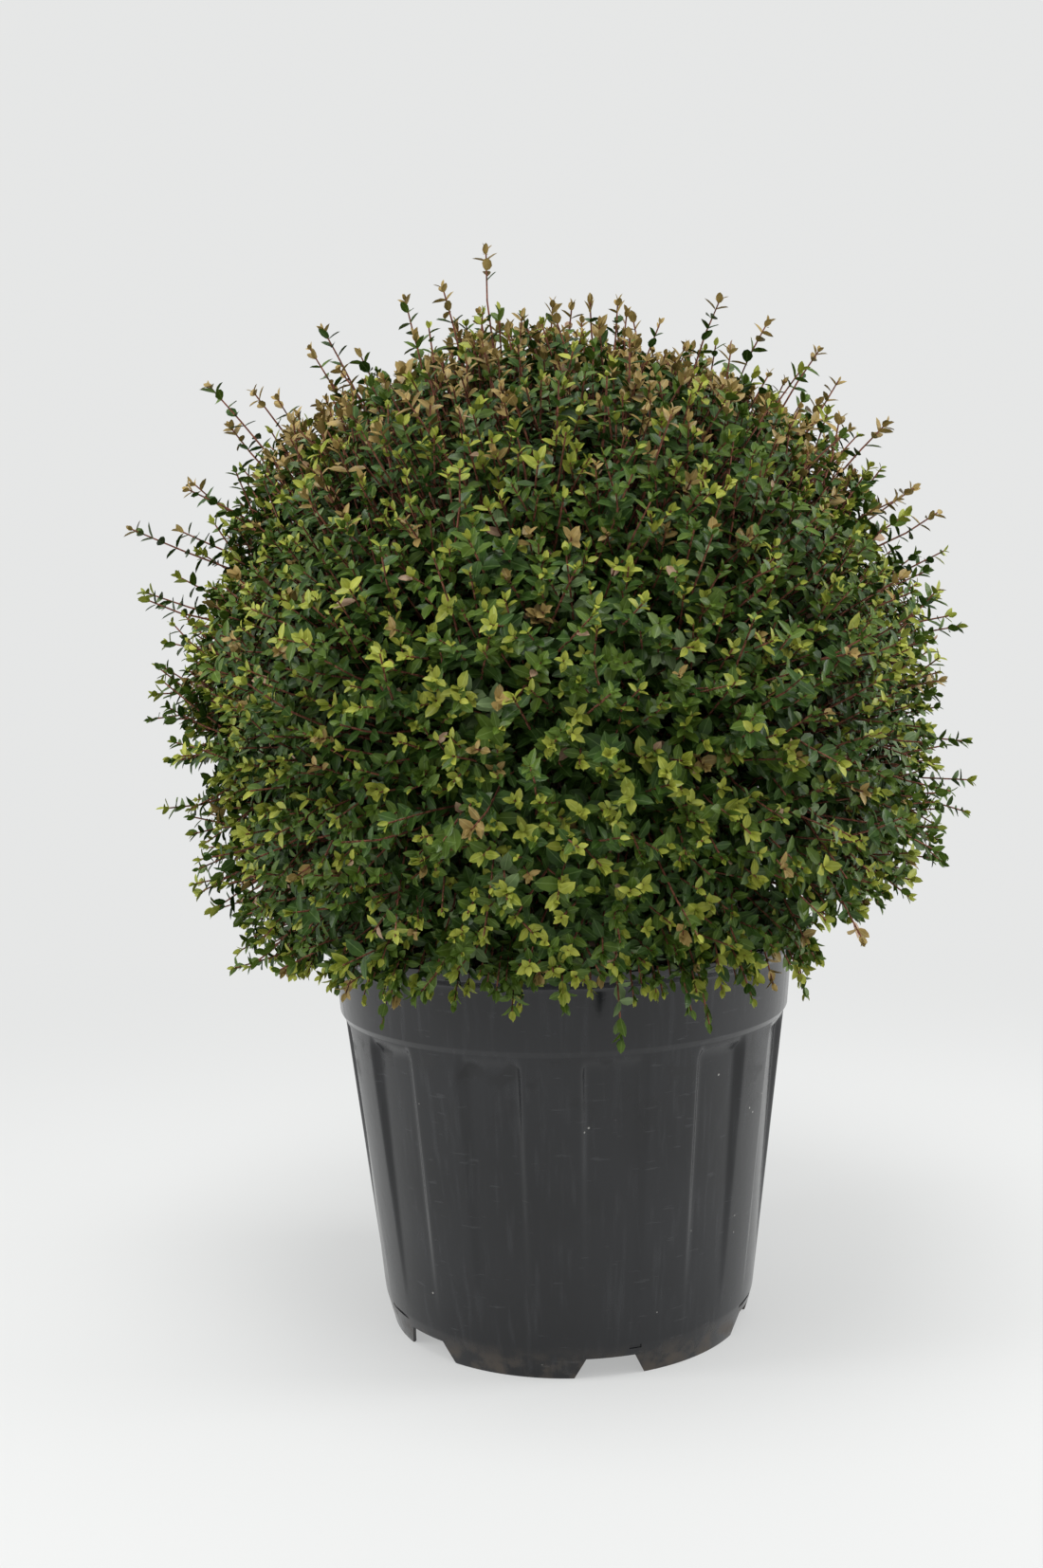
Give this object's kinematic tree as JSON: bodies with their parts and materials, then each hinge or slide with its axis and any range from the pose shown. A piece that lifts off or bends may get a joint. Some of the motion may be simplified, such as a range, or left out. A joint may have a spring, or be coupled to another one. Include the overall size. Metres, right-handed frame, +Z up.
{
  "type": "potted shrub",
  "caption": "Potted shrubby honeysuckle clipped round, with small opposite leaves on thin reddish twigs, in a fluted black nursery pot with a flared rim and drain notches.",
  "frame": {"origin": "centre of the pot's foot, on the ground", "axes": "+Z up along the pot's axis; -Y is the front that the picture shows, +X to the right in it"},
  "size_m": [0.496, 0.496, 0.636],
  "materials": {
    "black_plastic": "moulded charcoal-black plastic with a soft satin sheen, dusty",
    "moist_compost": "dark crumbly potting compost",
    "bark": "thin reddish-brown bark",
    "leaves": "small glossy leaves, dark green inside and yellow-green to bronze at the tips"
  },
  "bodies": {
    "root": {"bough_middle_1": "bark", "bough_middle_2": "bark", "bough_middle_3": "bark", "bough_middle_4": "bark", "bough_middle_5": "bark", "bough_middle_6": "bark", "bough_middle_7": "bark", "bough_middle_8": "bark", "bough_skirt_1": "bark", "bough_skirt_2": "bark", "bough_skirt_3": "bark", "bough_skirt_4": "bark", "bough_skirt_5": "bark", "bough_skirt_6": "bark", "bough_skirt_7": "bark", "bough_skirt_8": "bark", "bough_top_1": "bark", "bough_top_2": "bark", "bough_upper_1": "bark", "bough_upper_2": "bark", "bough_upper_3": "bark", "bough_upper_4": "bark", "bough_upper_5": "bark", "bough_upper_6": "bark", "compost": "moist_compost", "foliage_middle_1": "leaves", "foliage_middle_2": "leaves", "foliage_middle_3": "leaves", "foliage_middle_4": "leaves", "foliage_middle_5": "leaves", "foliage_middle_6": "leaves", "foliage_middle_7": "leaves", "foliage_middle_8": "leaves", "foliage_skirt_1": "leaves", "foliage_skirt_2": "leaves", "foliage_skirt_3": "leaves", "foliage_skirt_4": "leaves", "foliage_skirt_5": "leaves", "foliage_skirt_6": "leaves", "foliage_skirt_7": "leaves", "foliage_skirt_8": "leaves", "foliage_top_1": "leaves", "foliage_top_2": "leaves", "foliage_upper_1": "leaves", "foliage_upper_2": "leaves", "foliage_upper_3": "leaves", "foliage_upper_4": "leaves", "foliage_upper_5": "leaves", "foliage_upper_6": "leaves", "pot": "black_plastic", "shoot_back": "leaves", "shoot_front": "leaves", "shoot_left": "leaves", "shoot_right": "leaves", "shoot_side_left": "leaves", "shoot_top": "leaves", "shoot_upper_left": "leaves", "shoot_upper_right": "leaves", "stem": "bark"}
  },
  "joints": []
}
